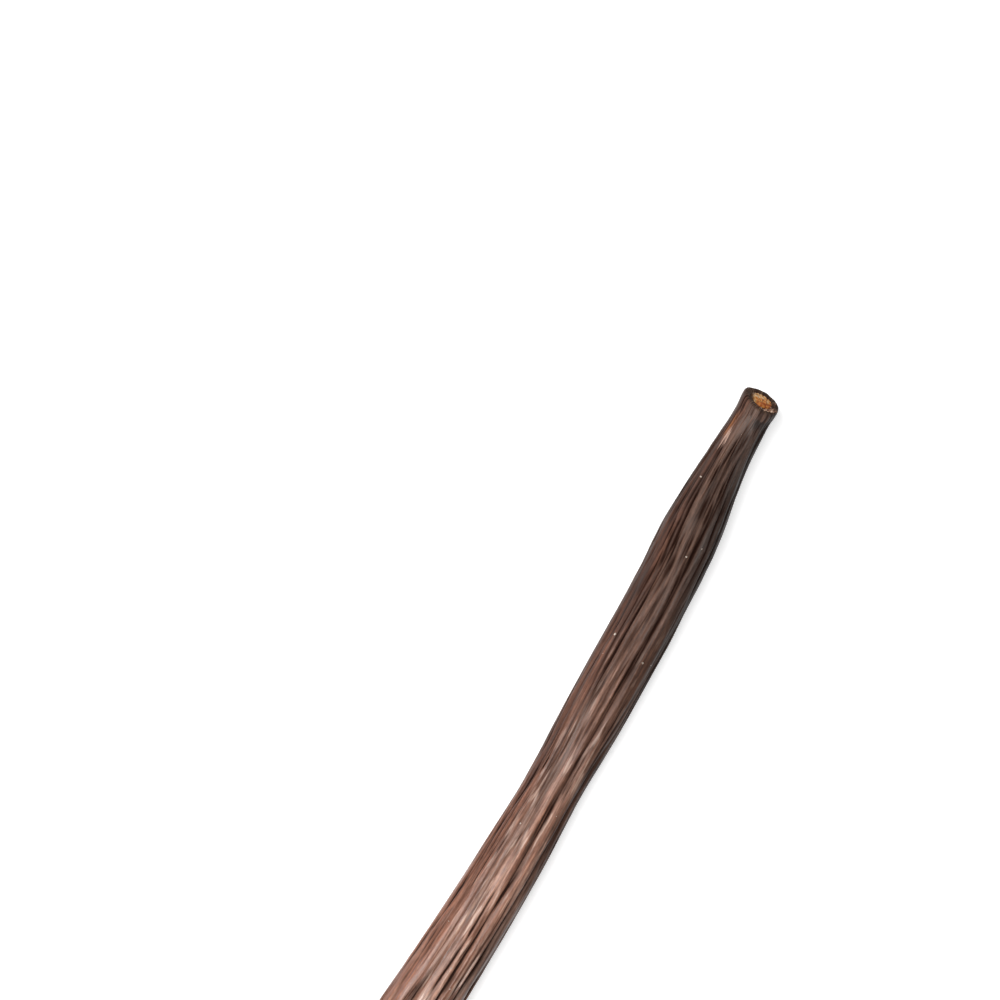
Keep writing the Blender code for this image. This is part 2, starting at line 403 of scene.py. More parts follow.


# %% [markdown]
# ## Folds as lines on a flat sheet
#
# A fold in the skin is a line that the skin has sunk along. It is far easier to draw such lines on a flat
# sheet than on a bent tube, so the skin is thought of as unrolled: X is the distance from the cut, and Y is
# the way round, from one edge of the underside to the other. The main furrows of the upper side are listed,
# because a viewer knows a pod by them. Each is a few points (distance, angle from the top towards -Y), and a
# strength. The ones round the back and the underside are drawn by a loop.
#
# A line is lifted off the sheet where its fold is shallow. The skin will sink by how near the line is, so
# a lifted line makes a shallow fold, and one that rises at its ends fades out there.

# %% The main furrows
MEAN_RADIUS = 4.3 * MM
GIRTH = 2 * math.pi * MEAN_RADIUS
MAIN_REACH = 0.85 * MM
MAIN_FURROWS = (
    (1.00, ((7, 30), (15, 28), (24, 23), (40, 22), (62, 20), (92, 18), (120, 22), (150, 18), (169, 14))),
    (0.95, ((5, -32), (15, -30), (23, -27), (32, -24), (46, -24), (52, -26))),
    (0.85, ((51, -34), (58, -33), (64, -34), (70, -33))),
    (0.75, ((70, -26), (82, -27), (93, -29), (108, -33), (128, -30))),
    (0.90, ((54, 58), (62, 59), (69, 56), (77, 50), (100, 48), (126, 54), (146, 48))),
    (0.60, ((64, -11), (76, -14), (85, -12), (92, -4), (101, -1))),
    (0.70, ((32, 6), (40, 5), (50, 4), (64, 6))),
    (0.60, ((34, -6), (44, -6), (55, -8))),
    (0.95, ((2, 11), (8, 15), (12, 10), (18, 8), (26, 8))),
    (0.70, ((0.2, 2), (2, -1), (5, -5))),
    (0.75, ((9, -3), (15, -3), (25, -6))),
    (0.75, ((10, 42), (16, 41), (27, 39))),
    (0.50, ((12, 57), (22, 57), (34, 60), (48, 58))),
    (0.45, ((8, -42), (15, -41), (26, -44))),
    (0.55, ((28, 35), (40, 35), (54, 38))),
    (0.60, ((74, -50), (90, -52), (112, -48))),
    (0.65, ((76, -18), (88, -19), (104, -16), (118, -19))),
    (0.70, ((100, 4), (118, 6), (136, 2), (152, 4))),
    (0.60, ((84, 33), (98, 34), (118, 38), (140, 33), (160, 30))),
    (0.70, ((30, -56), (44, -58), (60, -54), (72, -58))),
    (0.60, ((30, 76), (50, 78), (72, 74), (95, 78), (120, 74))),
    (0.55, ((1, 44), (4, 50), (9, 52))),
    (0.55, ((0.4, -44), (4, -50), (8, -56))),
)
BACK_FURROWS = 15
LINE_STEP = 1.5 * MM
FADE_LENGTH = 7 * MM


def sheet_line(points, strength):
    """A furrow as closely spaced points on the flat sheet, lifted where it is shallow."""
    start, end = points[0][0] * MM, points[-1][0] * MM
    count = max(4, round((end - start) / LINE_STEP))
    line = []
    for n in range(count + 1):
        along = start + (end - start) * n / count
        before = max(0, min(len(points) - 2, sum(point[0] * MM <= along for point in points) - 1))
        (left, left_angle), (right, right_angle) = points[before], points[before + 1]
        share = (along / MM - left) / (right - left)
        angle = (left_angle + (right_angle - left_angle) * ease(share)) * DEGREE
        fade = min(1, min(along - start, end - along) / FADE_LENGTH)
        line.append((along, angle * MEAN_RADIUS, MAIN_REACH * (1 - strength * ease(fade) ** 0.5)))
    return line


def back_furrow(number):
    """The points of a furrow on the underside or a flank. Steps by the golden angle keep them uneven."""
    golden = number * 137.5
    angle = 82 + 196 * (number + 0.5) / BACK_FURROWS
    start = 3 + golden % 31
    end = min(168, start + 40 + golden % 83)
    return [
        (along, angle + 4 * math.sin(along / 11 + number) + 2 * math.sin(along / 5 + 2 * number))
        for along in range(round(start), round(end), 9)
    ]


lines = [sheet_line(points, strength) for strength, points in MAIN_FURROWS]
lines += [
    sheet_line(back_furrow(number), 0.55 + 0.35 * (number * 0.618 % 1)) for number in range(BACK_FURROWS)
]
print(len(lines), "main furrows")

# %% The furrows as a guide mesh
corners = []
edges = []
for line in lines:
    for turns in (-1, 0, 1):
        first = len(corners)
        corners += [(x, y + turns * GIRTH, z) for x, y, z in line]
        edges += [(n, n + 1) for n in range(first, len(corners) - 1)]
furrow_guide = guide_object("main_furrows", corners, edges)
print(len(edges), "edges of main furrow")

# %% [markdown]
# ## Smaller folds, scattered by a tree
#
# Between the furrows there are hundreds of finer folds, too many to place by hand. This small tree makes
# them: points at random on the sheet, a straight line of a few vertices on each, stretched to a random
# length, then bent a little from side to side by noise, and lifted at both ends so that each fold fades
# out. The sheet's two long edges meet on the tube, so the lines are repeated one girth to each side. The
# seed is an input, so each run gives the same pod. Long wrinkles and short creases run the whole length,
# fine fibres lie between them, and tight pleats gather only on the neck, which shrank most.

# %% Tree: fold lines
fold_lines, given, result = new_shape_tree(
    "fold_lines",
    {
        "Count": ("Int", 100),
        "Shortest": ("Float", 4 * MM),
        "Longest": ("Float", 20 * MM),
        "Lift": ("Float", 0.3 * MM),
        "Wander": ("Float", 0.3 * MM),
        "First": ("Float", -8 * MM),
        "Last": ("Float", POD_LENGTH),
        "Seed": ("Int", 1),
    },
    {"Lines": "Geometry"},
)
LINE_CORNERS = 9
straight = add(
    fold_lines, "MeshLine", feeds={"Count": LINE_CORNERS, "Offset": (1 / (LINE_CORNERS - 1), 0, 0)}
)
share = add(fold_lines, "Math", "DIVIDE", {0: add(fold_lines, "InputIndex"), 1: LINE_CORNERS - 1})
marked = add(
    fold_lines,
    "StoreNamedAttribute",
    {"data_type": "FLOAT", "domain": "POINT"},
    {"Geometry": straight, "Name": "share", "Value": share},
)
lowest = add(fold_lines, "CombineXYZ", feeds={"X": given["First"], "Y": -GIRTH / 2})
highest = add(fold_lines, "CombineXYZ", feeds={"X": given["Last"], "Y": GIRTH / 2})
place = add(
    fold_lines,
    "RandomValue",
    {"data_type": "FLOAT_VECTOR"},
    {"Min": lowest, "Max": highest, "Seed": given["Seed"]},
)
length = add(
    fold_lines,
    "RandomValue",
    {"data_type": "FLOAT"},
    {"Min": given["Shortest"], "Max": given["Longest"], "Seed": given["Seed"]},
)
stretch = add(fold_lines, "CombineXYZ", feeds={"X": length, "Y": 1, "Z": 1})
dots = add(fold_lines, "Points", feeds={"Count": given["Count"], "Position": place})
placed = add(fold_lines, "InstanceOnPoints", feeds={"Points": dots, "Instance": marked, "Scale": stretch})
real = add(fold_lines, "RealizeInstances", feeds={"Geometry": placed})
# Noise that changes slowly along the pod and quickly across it bends neighbours alike, as fibres do.
squeezed = add(
    fold_lines,
    "VectorMath",
    "MULTIPLY",
    {0: add(fold_lines, "InputPosition"), 1: (1 / (22 * MM), 1 / (3 * MM), 0)},
)
bend = add(fold_lines, "TexNoise", feeds={"Vector": squeezed, "Scale": 1, "Detail": 2})
sideways = add(
    fold_lines,
    "Math",
    "MULTIPLY",
    {0: add(fold_lines, "Math", "SUBTRACT", {0: bend, 1: 0.5}), 1: given["Wander"]},
)
from_middle = add(
    fold_lines,
    "Math",
    "PINGPONG",
    {0: add(fold_lines, "InputNamedAttribute", {"data_type": "FLOAT"}, {"Name": "share"}), 1: 0.5},
)
lift = add(
    fold_lines,
    "MapRange",
    feeds={"Value": from_middle, "From Max": 0.4, "To Min": given["Lift"], "To Max": 0},
)
shift_by = add(fold_lines, "CombineXYZ", feeds={"Y": sideways, "Z": lift})
bent = add(fold_lines, "SetPosition", feeds={"Geometry": real, "Offset": shift_by})
both_sides = add(fold_lines, "JoinGeometry")
fold_lines.links.new(bent.outputs[0], both_sides.inputs[0])
for turns in (-1, 1):
    copied = add(fold_lines, "Transform", feeds={"Geometry": bent, "Translation": (0, turns * GIRTH, 0)})
    fold_lines.links.new(copied.outputs[0], both_sides.inputs[0])
fold_lines.links.new(both_sides.outputs[0], result.inputs["Lines"])
print("fold_lines has", len(fold_lines.nodes), "nodes")

# %% [markdown]
# ## How far the skin sinks at a fold
#
# The second small tree answers one question for any point of the sheet: how far does the skin sink here?
# Geometry Proximity gives the distance to the nearest line. One minus that distance over the fold's reach,
# squared, is a sharp V at the line that rounds off towards the crown of the rib, which is just how a dried
# skin folds: valleys are creased, ribs are round.

# %% Tree: sinking
sinking, given, result = new_shape_tree(
    "sinking",
    {
        "Lines": ("Geometry", None),
        "Place": ("Vector", None),
        "Reach": ("Float", MM),
        "Depth": ("Float", MM),
    },
    {"Sunk": "Float", "Nearness": "Float"},
)
nearest = add(
    sinking,
    "Proximity",
    {"target_element": "EDGES"},
    {0: given["Lines"], "Sample Position": given["Place"]},
)
nearness = add(
    sinking,
    "MapRange",
    feeds={"Value": nearest.outputs["Distance"], "From Max": given["Reach"], "To Min": 1, "To Max": 0},
)
crease = add(sinking, "Math", "POWER", {0: nearness, 1: 2})
sunk = add(sinking, "Math", "MULTIPLY", {0: crease, 1: given["Depth"]})
sinking.links.new(sunk.outputs[0], result.inputs["Sunk"])
sinking.links.new(nearness.outputs[0], result.inputs["Nearness"])
print("sinking has", len(sinking.nodes), "nodes")

# %% [markdown]
# ## The skin
#
# The main tree lays the sheet over the stations. It starts from a flat grid with one row for each station.
# Every corner looks up its station by row number, and turns its place across the grid into an angle round
# the pod. The folds are read at its place on the unrolled sheet, and draw it in towards the middle. Slow
# noise adds the soft dents that no two pods share. The corner then goes where its station, angle and radius
# say, slanting with the cut near the stem, and never lower than the table.
#
# The tree also stores what the material will want to know: how deep in a fold each corner lies, and its
# place on the sheet, measured round a plain tube so that the pattern has no seam.

# %% Tree: skin, the sheet and its station
skin_tree, given, result = new_shape_tree(
    "pod_skin",
    {
        "Stations": ("Object", None),
        "Main furrows": ("Object", None),
        "Rows": ("Int", 10),
        "Columns": ("Int", 10),
        "Furrow depth": ("Float", 0.5 * MM),
        "Wrinkle depth": ("Float", 0.15 * MM),
        "Pleat depth": ("Float", 0.12 * MM),
        "Crease depth": ("Float", 0.08 * MM),
        "Fibre depth": ("Float", 0.03 * MM),
        "Material": ("Material", None),
    },
    {"Skin": "Geometry"},
)
sheet = add(
    skin_tree,
    "MeshGrid",
    feeds={"Size X": 1, "Size Y": 1, "Vertices X": given["Rows"], "Vertices Y": given["Columns"]},
)
on_grid = add(skin_tree, "SeparateXYZ", feeds={0: add(skin_tree, "InputPosition")})
last_row = add(skin_tree, "Math", "SUBTRACT", {0: given["Rows"], 1: 1})
row = add(
    skin_tree,
    "Math",
    "MULTIPLY",
    {0: add(skin_tree, "Math", "ADD", {0: on_grid.outputs["X"], 1: 0.5}), 1: last_row},
)
row = add(skin_tree, "Math", "ROUND", {0: row})
angle = add(skin_tree, "Math", "MULTIPLY", {0: on_grid.outputs["Y"], 1: 2 * math.pi})
station_mesh = add(skin_tree, "ObjectInfo", feeds={"Object": given["Stations"]}).outputs["Geometry"]


def at_station(field, kind):
    """Reads a field of the stations at each corner's own row."""
    feeds = {"Geometry": station_mesh, "Value": field, "Index": row}
    return add(skin_tree, "SampleIndex", {"data_type": kind, "domain": "POINT"}, feeds)


centre = at_station(add(skin_tree, "InputPosition"), "FLOAT_VECTOR")
stored = {}
for name in ("inward", "half_size", "along", "past_end", "folded_in", "slant"):
    kind = "FLOAT_VECTOR" if name in ("inward", "half_size") else "FLOAT"
    field = add(skin_tree, "InputNamedAttribute", {"data_type": kind}, {"Name": name})
    stored[name] = at_station(field, kind)
side = add(skin_tree, "VectorMath", "CROSS_PRODUCT", {0: (0, 0, 1), 1: stored["inward"]})
side = add(skin_tree, "VectorMath", "NORMALIZE", {0: side})
upward = add(skin_tree, "VectorMath", "CROSS_PRODUCT", {0: stored["inward"], 1: side})
sine = add(skin_tree, "Math", "SINE", {0: angle})
cosine = add(skin_tree, "Math", "COSINE", {0: angle})
print("pod_skin has", len(skin_tree.nodes), "nodes so far")

# %% Tree: skin, how far it sinks
FOLD_REACHES = {
    "furrow": MAIN_REACH, "wrinkle": 0.60 * MM, "pleat": 0.55 * MM, "crease": 0.32 * MM, "fibre": 0.20 * MM
}
FOLD_KINDS = {
    "wrinkle": {
        "Count": 130,
        "Shortest": 9 * MM,
        "Longest": 40 * MM,
        "Lift": 0.42 * MM,
        "Wander": 2.2 * MM,
        "Seed": 4,
    },
    # Pleats are only on the neck, which shrank most.
    "pleat": {
        "Count": 115,
        "Shortest": 4 * MM,
        "Longest": 15 * MM,
        "Lift": 0.5 * MM,
        "Wander": 1.6 * MM,
        "First": -3 * MM,
        "Last": 24 * MM,
        "Seed": 12,
    },
    "crease": {
        "Count": 700,
        "Shortest": 3 * MM,
        "Longest": 15 * MM,
        "Lift": 0.28 * MM,
        "Wander": 1.8 * MM,
        "Seed": 21,
    },
    "fibre": {
        "Count": 2100,
        "Shortest": 2.5 * MM,
        "Longest": 13 * MM,
        "Lift": 0.17 * MM,
        "Wander": 1.4 * MM,
        "Seed": 9,
    },
}
around = add(skin_tree, "Math", "MULTIPLY", {0: angle, 1: MEAN_RADIUS})
on_sheet = add(skin_tree, "CombineXYZ", feeds={"X": stored["along"], "Y": around})
main_lines = add(skin_tree, "ObjectInfo", feeds={"Object": given["Main furrows"]}).outputs["Geometry"]
near_fold = {}
folds = 0.0
for name, reach in FOLD_REACHES.items():
    lines = main_lines
    if name in FOLD_KINDS:
        lines = add(skin_tree, "Group", {"node_tree": fold_lines}, FOLD_KINDS[name])
    depth = given[name.capitalize() + " depth"]
    feeds = {"Lines": lines, "Place": on_sheet, "Reach": reach, "Depth": depth}
    fold = add(skin_tree, "Group", {"node_tree": sinking}, feeds)
    near_fold[name] = fold.outputs["Nearness"]
    folds = add(skin_tree, "Math", "ADD", {0: fold.outputs["Sunk"], 1: folds})

# A plain tube's coordinates: noise read there meets itself all the way round.
tube_place = add(
    skin_tree,
    "CombineXYZ",
    feeds={
        "X": stored["along"],
        "Y": add(skin_tree, "Math", "MULTIPLY", {0: sine, 1: MEAN_RADIUS}),
        "Z": add(skin_tree, "Math", "MULTIPLY", {0: cosine, 1: MEAN_RADIUS}),
    },
)
# Dents that noise adds: (length along, length across, how high). The short ones break up the shine on a rib.
SOFT_SHAPES = (
    (30 * MM, 4.5 * MM, 0.55 * MM), (26 * MM, 1.7 * MM, 0.30 * MM), (7 * MM, 1.1 * MM, 0.12 * MM)
)
for long, wide, high in SOFT_SHAPES:
    noise = streaky_noise(skin_tree, tube_place, long, wide, 1.5)
    dent = add(skin_tree, "Math", "SUBTRACT", {0: noise, 1: 0.5})
    folds = add(skin_tree, "Math", "MULTIPLY_ADD", {0: dent, 1: high, 2: folds})

# The skin is stiffer at the collar and where it is folded in, so the folds flatten out there.
loose = add(
    skin_tree,
    "MapRange",
    feeds={"Value": stored["along"], "From Min": 0, "From Max": 4 * MM, "To Min": 0.35, "To Max": 1},
)
unfolded = add(skin_tree, "Math", "SUBTRACT", {0: 1, 1: stored["folded_in"]})
drawn_in = folds
for share in (loose, unfolded):
    drawn_in = add(skin_tree, "Math", "MULTIPLY", {0: drawn_in, 1: share})
print("and", len(skin_tree.nodes), "with the folds")

# %% Tree: skin, each corner's place
TRIGONAL = 0.045
TRIGONAL_TURN = 32 * DEGREE
CUT_TILT = 30 * DEGREE
CUT_TURN = 8 * DEGREE
RAGGED = 0.28 * MM
half_size = add(skin_tree, "SeparateXYZ", feeds={0: stored["half_size"]})
three_times = add(skin_tree, "Math", "MULTIPLY_ADD", {0: angle, 1: 3, 2: -3 * TRIGONAL_TURN})
three_waves = add(skin_tree, "Math", "COSINE", {0: three_times})
lean = add(skin_tree, "Math", "MULTIPLY_ADD", {0: three_waves, 1: TRIGONAL, 2: 1})
reach = []
for half, wave in ((half_size.outputs["X"], sine), (half_size.outputs["Y"], cosine)):
    radius = add(skin_tree, "Math", "MULTIPLY", {0: half, 1: lean})
    radius = add(skin_tree, "Math", "SUBTRACT", {0: radius, 1: drawn_in})
    radius = add(skin_tree, "Math", "MAXIMUM", {0: radius, 1: 0})
    reach.append(add(skin_tree, "Math", "MULTIPLY", {0: radius, 1: wave}))
across, above = reach

# The knife left the rim uneven: noise moves it in and out, along the pod.
rim_noise = streaky_noise(skin_tree, tube_place, MM / 0.3, MM / 0.52, 3)
raggedness = add(
    skin_tree,
    "MapRange",
    feeds={"Value": stored["along"], "From Min": 0, "From Max": 1.6 * MM, "To Min": RAGGED, "To Max": 0},
)
tear = add(skin_tree, "Math", "SUBTRACT", {0: rim_noise, 1: 0.5})
for share in (raggedness, unfolded):
    tear = add(skin_tree, "Math", "MULTIPLY", {0: tear, 1: share})
back = add(skin_tree, "Math", "MULTIPLY", {0: above, 1: math.tan(CUT_TILT)})
back = add(skin_tree, "Math", "MULTIPLY_ADD", {0: across, 1: math.tan(CUT_TURN), 2: back})
back = add(skin_tree, "Math", "MULTIPLY_ADD", {0: back, 1: stored["slant"], 2: tear})
back = add(skin_tree, "Math", "SUBTRACT", {0: back, 1: stored["past_end"]})
place = centre
for direction, distance in ((side, across), (upward, above), (stored["inward"], back)):
    step = add(skin_tree, "VectorMath", "SCALE", {0: direction, "Scale": distance})
    place = add(skin_tree, "VectorMath", "ADD", {0: place, 1: step})
# Nothing goes below the table.
place = add(skin_tree, "VectorMath", "MAXIMUM", {0: place, 1: (-1, -1, 0)})
print("and", len(skin_tree.nodes), "with each corner's place")

# %% Tree: skin, what it stores and its last steps
fields = {"skin_place": tube_place, "along": stored["along"], "folded_in": stored["folded_in"]}
fields.update(near_fold)
fields["new_place"] = place
mesh_so_far = store(skin_tree, sheet.outputs["Mesh"], fields)
finish_tree(skin_tree, mesh_so_far, given["Material"], result.inputs["Skin"])

# %% [markdown]
# ## Colour helpers
#
# Colours are picked as they look on a screen, as hex values. Blender mixes light in linear values, so one
# function turns the one into the other.

# %% Colour helpers


def linear(hex_colour):
    """A screen colour such as 0x6B4A3C as the linear values that a shader wants."""
    parts = [(hex_colour >> shift & 255) / 255 for shift in (16, 8, 0)]
    return tuple(
        part / 12.92 if part <= 0.04045 else ((part + 0.055) / 1.055) ** 2.4 for part in parts
    ) + (1.0,)


def new_finish(name):
    """An empty material: gives it, its tree and its main shader."""
    finish = bpy.data.materials.new(name)
    finish.use_nodes = True
    return finish, finish.node_tree, finish.node_tree.nodes["Principled BSDF"]


def set_stops(ramp, stops):
    """Fills a colour ramp with (place, hex colour) stops."""
    elements = ramp.color_ramp.elements
    while len(elements) < len(stops):
        elements.new(0.5)
    for element, (place, colour) in zip(elements, stops):
        element.position = place
        element.color = linear(colour)


# %% [markdown]
# ## Cured skin
#
# Cured pod skin is a tough plant skin, sweated and dried, with a little natural oil in it. Its brown comes
# from the curing and runs in streaks along the fibres: greyer by the neck, and redder and paler towards the
# belly, where part of the paleness is painted light. Down in a fold the colour is painted almost black, as
# painted shade, and the crowns, sides and underside carry painted light and shade as well. The oil gives a
# soft broad sheen on the crowns of the ribs and none in the folds, so roughness follows the folds as well.
#
# Handling leaves its marks too, and some painted light is mixed in: short pale scuffs on the belly's crowns
# that are partly painted glints, a worn patch, a pale streak that is partly a painted glint, and a dark patch
# behind the collar on the neck. All of it could be painted by hand on an unwrapped image. Noise is used
# instead, stretched along the fibres and read at a plain tube's coordinates, so it has no seam and stays
# sharp from close by.

# %% Material: cured skin
cured_skin, tree, shader = new_finish("cured_oily_pod_skin")
skin_place = add(tree, "Attribute", {"attribute_name": "skin_place"}).outputs["Vector"]
along, folded_in, furrow, wrinkle, pleat, crease, fibre = [
    add(tree, "Attribute", {"attribute_name": name}).outputs["Fac"]
    for name in ("along", "folded_in", "furrow", "wrinkle", "pleat", "crease", "fibre")
]
round_pod = add(tree, "SeparateXYZ", feeds={0: skin_place})
broad_streak = streaky_noise(tree, skin_place, 34 * MM, 2.4 * MM)
rib_streak = streaky_noise(tree, skin_place, 14 * MM, 0.62 * MM, 3)
fibre_streak = streaky_noise(tree, skin_place, 5 * MM, 0.20 * MM)
print("cured skin has", len(tree.nodes), "nodes for its patterns")

# %% Cured skin: its brown, from end to end
neck_tones = add(tree, "ValToRGB", feeds={"Fac": rib_streak})
set_stops(neck_tones, ((0.28, 0x39251B), (0.45, 0x543729), (0.58, 0x6E4937), (0.74, 0x89634F)))
# The belly's tones are paler than the neck's, and part of that paleness is painted light.
belly_tones = add(tree, "ValToRGB", feeds={"Fac": rib_streak})
set_stops(belly_tones, ((0.28, 0x684534), (0.43, 0x895E4B), (0.58, 0xA47B68), (0.74, 0xC39E8C)))
to_belly = add(tree, "MapRange", SMOOTH, {"Value": along, "From Min": 25 * MM, "From Max": 105 * MM})
tone = add(tree, "Mix", COLOURS, {"Factor": to_belly, "A": neck_tones, "B": belly_tones})
by_neck = add(
    tree,
    "MapRange",
    SMOOTH,
    {"Value": along, "From Min": 16 * MM, "From Max": 52 * MM, "To Min": 1, "To Max": 0},
)
grey_share = add(
    tree, "MapRange", feeds={"Value": broad_streak, "From Min": 0.42, "From Max": 0.66, "To Max": 0.30}
)
grey_share = add(tree, "Math", "MULTIPLY_ADD", {0: by_neck, 1: 0.40, 2: grey_share})
# The side turned to +Y, where the light falls, is painted redder and less grey, as painted light.
painted_lit_side = add(
    tree,
    "MapRange",
    SMOOTH,
    {
        "Value": round_pod.outputs["Y"],
        "From Min": -3.4 * MM,
        "From Max": -1.0 * MM,
        "To Min": 1,
        "To Max": 0,
    },
)
less_grey = add(tree, "MapRange", feeds={"Value": painted_lit_side, "To Min": 1, "To Max": 0.25})
grey_share = add(tree, "Math", "MULTIPLY", {0: grey_share, 1: less_grey})
tone = add(tree, "Mix", COLOURS, {"Factor": grey_share, "A": tone, "B": linear(0x4C3D34)})
tone = add(
    tree,
    "Mix",
    {"data_type": "RGBA", "blend_type": "MULTIPLY"},
    {"Factor": painted_lit_side, "A": tone, "B": linear(0xFFEAE0)},
)
fine_share = add(
    tree,
    "MapRange",
    feeds={"Value": fibre_streak, "From Min": 0.3, "From Max": 0.7, "To Min": 0.74, "To Max": 1.24},
)
tone = add(tree, "VectorMath", "SCALE", {0: tone.outputs["Result"], "Scale": fine_share})
# A pebbly grain of short flecks keeps the streaks from looking combed.
pebbly = streaky_noise(tree, skin_place, MM, MM / 3.6, 3)
fleck = add(
    tree,
    "MapRange",
    feeds={"Value": pebbly, "From Min": 0.3, "From Max": 0.7, "To Min": 0.78, "To Max": 1.22},
)
tone = add(tree, "VectorMath", "SCALE", {0: tone, "Scale": fleck})
print("and", len(tree.nodes), "with its brown")

# %% Cured skin: painted shade in the folds, and painted light and shade on its sides
# How deep the point lies in each kind of fold, from 0 on a crown to 1 at the bottom. It sets the painted
# shade in the folds. The powers keep the darkest line much thinner than the fold is wide.
depth = 0.0
for nearness, sharpness, strength in (
    (furrow, 6.0, 1.0), (wrinkle, 3.6, 0.95), (pleat, 2.2, 0.95), (crease, 1.8, 0.70), (fibre, 1.6, 0.30)
):
    sharp = add(tree, "Math", "POWER", {0: nearness, 1: sharpness})
    depth = add(tree, "Math", "MULTIPLY_ADD", {0: sharp, 1: strength, 2: depth})
depth = add(tree, "Math", "MINIMUM", {0: depth, 1: 1})
# The crowns of the ribs are painted paler and the sides of the furrows darker, as painted highlight and
# shade. The flank turned to -Y is painted darker, as painted shade: from near the crown on in the body, and
# lower down in the neck and the belly.
painted_light_scale = add(tree, "MapRange", feeds={"Value": furrow, "From Max": 0.6, "To Min": 1.10, "To Max": 0.90})
lower_down = add(tree, "Math", "MAXIMUM", {0: to_belly, 1: by_neck})
flank_from = add(tree, "MapRange", feeds={"Value": lower_down, "To Min": 1.2 * MM, "To Max": 2.7 * MM})
flank_to = add(tree, "Math", "ADD", {0: flank_from, 1: 1.0 * MM})
painted_flank_shade = add(
    tree,
    "MapRange",
    SMOOTH,
    {
        "Value": round_pod.outputs["Y"],
        "From Min": flank_from,
        "From Max": flank_to,
        "To Min": 1,
        "To Max": 0.52,
    },
)
# Low down it is painted darker all round, as painted shade, most in the body.
under_shade_level = add(tree, "MapRange", feeds={"Value": to_belly, "To Min": 0.60, "To Max": 0.90})
painted_under_shade = add(
    tree,
    "MapRange",
    SMOOTH,
    {
        "Value": round_pod.outputs["Z"],
        "From Min": 1.6 * MM,
        "From Max": 3.9 * MM,
        "To Min": under_shade_level,
        "To Max": 1,
    },
)
# The belly's crown is painted the palest of all, as a painted highlight.
from_crown = add(tree, "Math", "SUBTRACT", {0: round_pod.outputs["Y"], 1: 1.1 * MM})
from_crown = add(tree, "Math", "ABSOLUTE", {0: from_crown})
crown_highlight_peak = add(tree, "MapRange", feeds={"Value": to_belly, "To Min": 1, "To Max": 1.5})
painted_crown_highlight = add(
    tree, "MapRange", SMOOTH, {"Value": from_crown, "From Max": 2.4 * MM, "To Min": crown_highlight_peak, "To Max": 0.95}
)
# The neck's side turned to -Y is painted greyer and darker from its crown on, as painted shade.
painted_neck_shade = add(
    tree,
    "MapRange",
    SMOOTH,
    {"Value": round_pod.outputs["Y"], "From Min": -0.4 * MM, "From Max": 1.6 * MM, "To Max": 0.36},
)
painted_neck_shade = add(tree, "Math", "MULTIPLY", {0: painted_neck_shade, 1: by_neck})
painted_neck_shade = add(tree, "Math", "SUBTRACT", {0: 1, 1: painted_neck_shade})
for share in (painted_flank_shade, painted_under_shade, painted_crown_highlight, painted_neck_shade):
    painted_light_scale = add(tree, "Math", "MULTIPLY", {0: painted_light_scale, 1: share})
tone = add(tree, "VectorMath", "SCALE", {0: tone, "Scale": painted_light_scale})
print("and", len(tree.nodes), "with its folds and sides")

# %% Cured skin: scuffs with painted glints, and patches
# Short stretches of the belly's crowns are pale: partly polish from handling, where the outer film shows,
# and partly painted glints.
scuffs_and_glints = streaky_noise(tree, skin_place, 6 * MM, MM / 1.9, 3)
scuffs_and_glints = add(
    tree, "MapRange", SMOOTH, {"Value": scuffs_and_glints, "From Min": 0.54, "From Max": 0.68, "To Max": 0.78}
)
high_up = add(
    tree, "MapRange", SMOOTH, {"Value": round_pod.outputs["Z"], "From Min": 2.2 * MM, "From Max": 3.9 * MM}
)
for mask in (to_belly, high_up):
    scuffs_and_glints = add(tree, "Math", "MULTIPLY", {0: scuffs_and_glints, 1: mask})
tone = add(tree, "Mix", COLOURS, {"Factor": scuffs_and_glints, "A": tone, "B": linear(0xE2C2B0)})
tone = tone.outputs["Result"]
# Patches on the neck: (distance from the cut, angle, half length, half width, colour, strength). The first
# is worn through to paler skin, the second is a pale worn streak that is partly a painted glint, and the last
# is a dark patch just behind the collar.
PATCHES = (
    (5.0 * MM, -50 * DEGREE, 2.6 * MM, 1.1 * MM, 0xA5673C, 0.75),
    (7.6 * MM, -38 * DEGREE, 2.4 * MM, 0.6 * MM, 0xE0B8A4, 0.85),
    (2.6 * MM, 34 * DEGREE, 2.0 * MM, 2.6 * MM, 0x1D1512, 0.85),
)
for patch_along, angle, half_long, half_wide, colour, strength in PATCHES:
    middle = (patch_along, MEAN_RADIUS * math.sin(angle), MEAN_RADIUS * math.cos(angle))
    away = add(tree, "VectorMath", "SUBTRACT", {0: skin_place, 1: middle})
    away = add(tree, "VectorMath", "DIVIDE", {0: away, 1: (half_long, half_wide, half_wide)})
    away = add(tree, "VectorMath", "LENGTH", {0: away})
    # The noise breaks up the edge into streaks.
    away = add(tree, "Math", "MULTIPLY_ADD", {0: fibre_streak, 1: 2.4, 2: away.outputs["Value"]})
    share = add(
        tree,
        "MapRange",
        SMOOTH,
        {"Value": away, "From Min": 1.4, "From Max": 2.2, "To Min": strength, "To Max": 0},
    )
    tone = add(tree, "Mix", COLOURS, {"Factor": share, "A": tone, "B": linear(colour)})
    tone = tone.outputs["Result"]
print("and", len(tree.nodes), "with scuffs and patches")

# %% Cured skin: colour, roughness and bump put together
# Painted shade: deep in a fold the colour is mixed towards near black.
fold_shaded = add(tree, "Mix", COLOURS, {"Factor": depth, "A": tone, "B": linear(0x24120A)})
